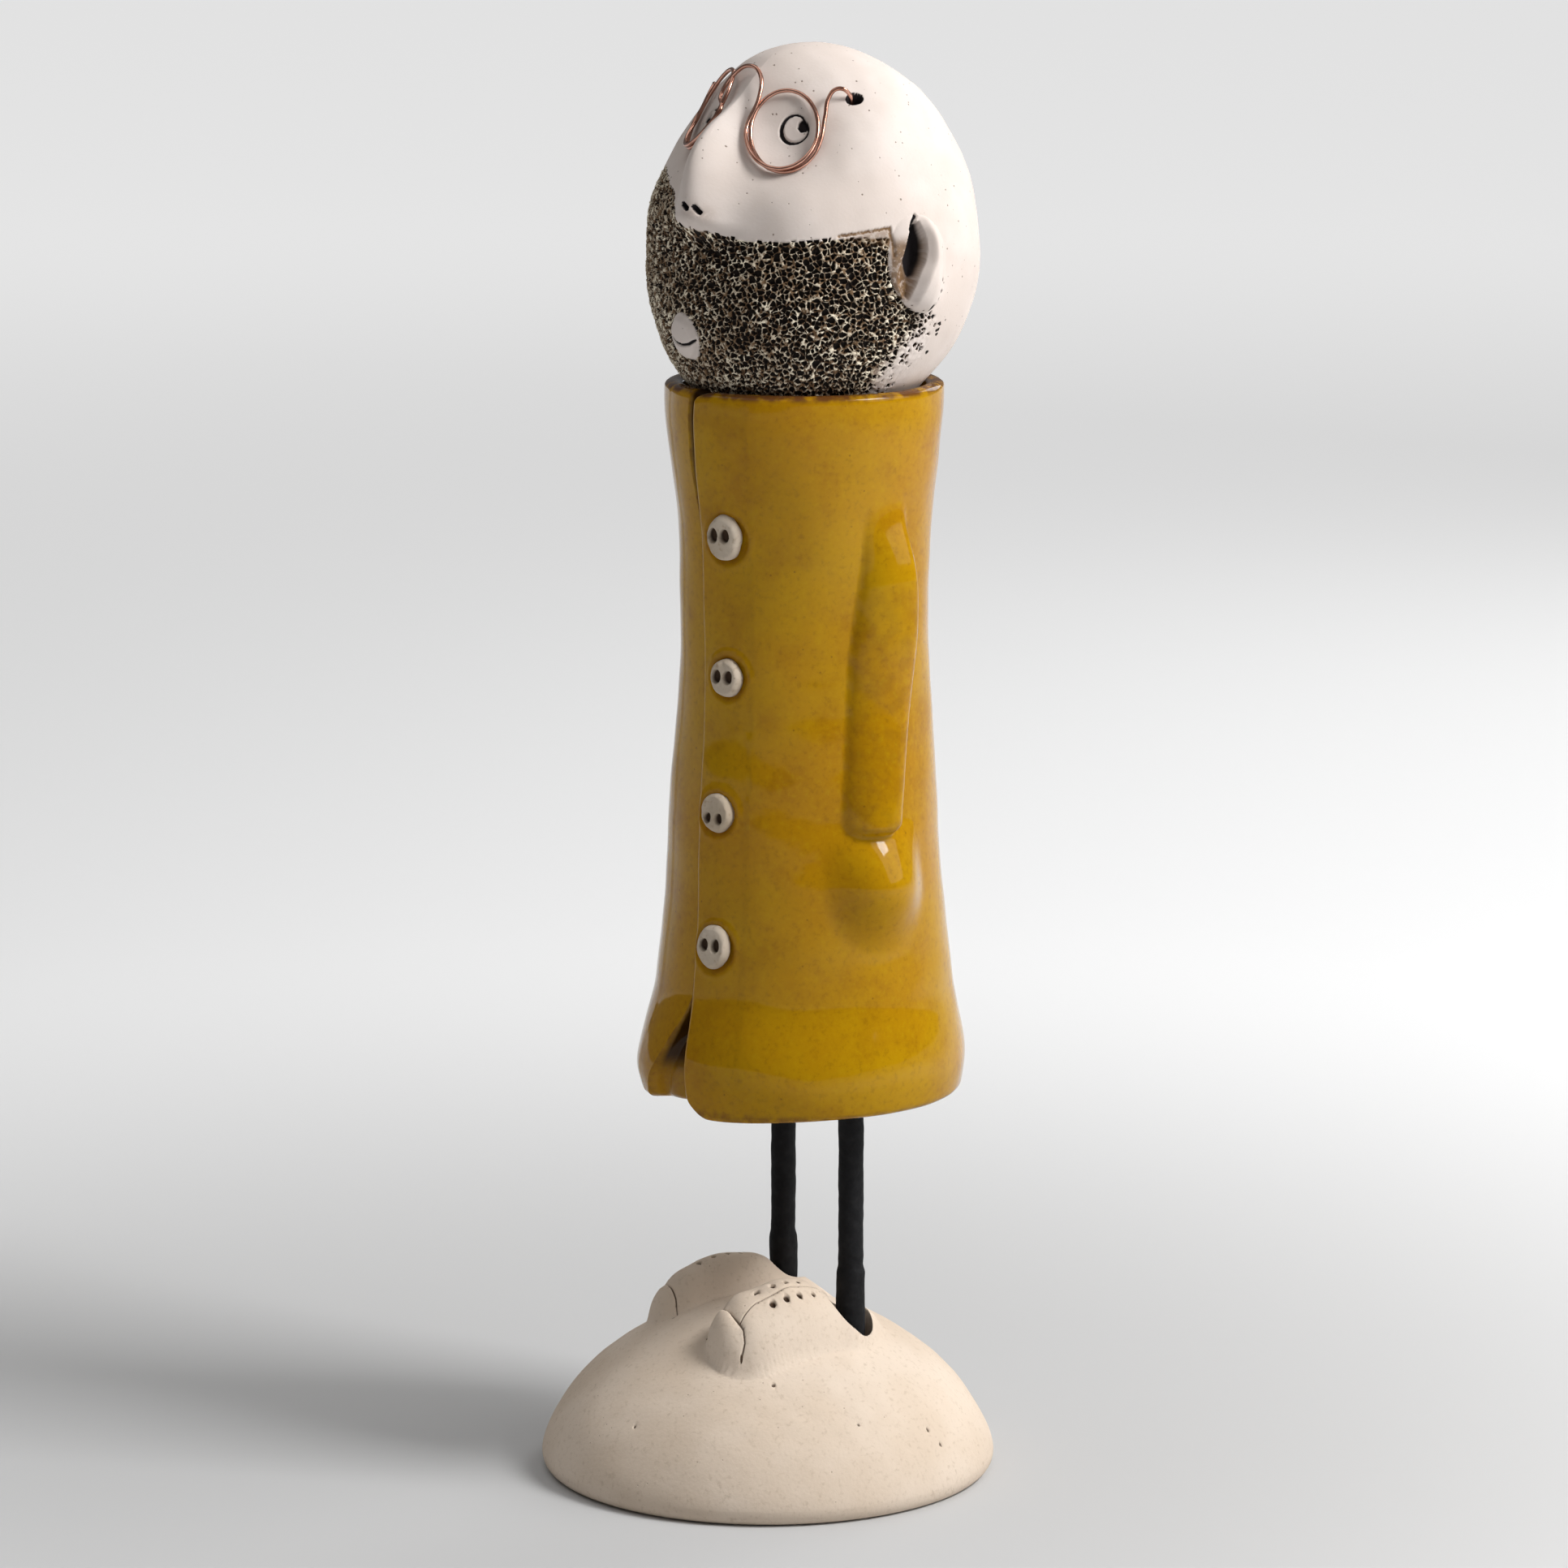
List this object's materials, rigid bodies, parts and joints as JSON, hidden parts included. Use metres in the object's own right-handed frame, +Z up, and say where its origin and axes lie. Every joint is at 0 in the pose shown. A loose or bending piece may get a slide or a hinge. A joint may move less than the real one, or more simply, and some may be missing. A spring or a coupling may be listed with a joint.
{
  "type": "figurine",
  "caption": "Hand-built fired clay figurine of a bearded man with wire spectacles in a long glazed coat, on rod legs and a domed foot; stands on a flat rim.",
  "frame": {"origin": "middle of the foot's underside, on the floor", "axes": "+Z up along the figure; the coat's buttoned front faces -Y, so the figure's left side is +X"},
  "size_m": [0.109, 0.109, 0.3411],
  "materials": {
    "foot_clay": "unglazed fired clay with fine brown speckles",
    "black_rod": "satin black",
    "ochre_glaze": "glossy ochre glaze that breaks brown at the edges",
    "button_clay": "unglazed white clay",
    "head_clay": "unglazed pale clay, dark oxide rubbed into the beard",
    "copper_wire": "bare copper wire, slightly tarnished"
  },
  "bodies": {
    "root": {"base": "foot_clay", "leg_left": "black_rod", "leg_right": "black_rod", "coat": "ochre_glaze", "button_1": "button_clay", "button_2": "button_clay", "button_3": "button_clay", "button_4": "button_clay", "head": "head_clay", "spectacles": "copper_wire"}
  },
  "joints": []
}
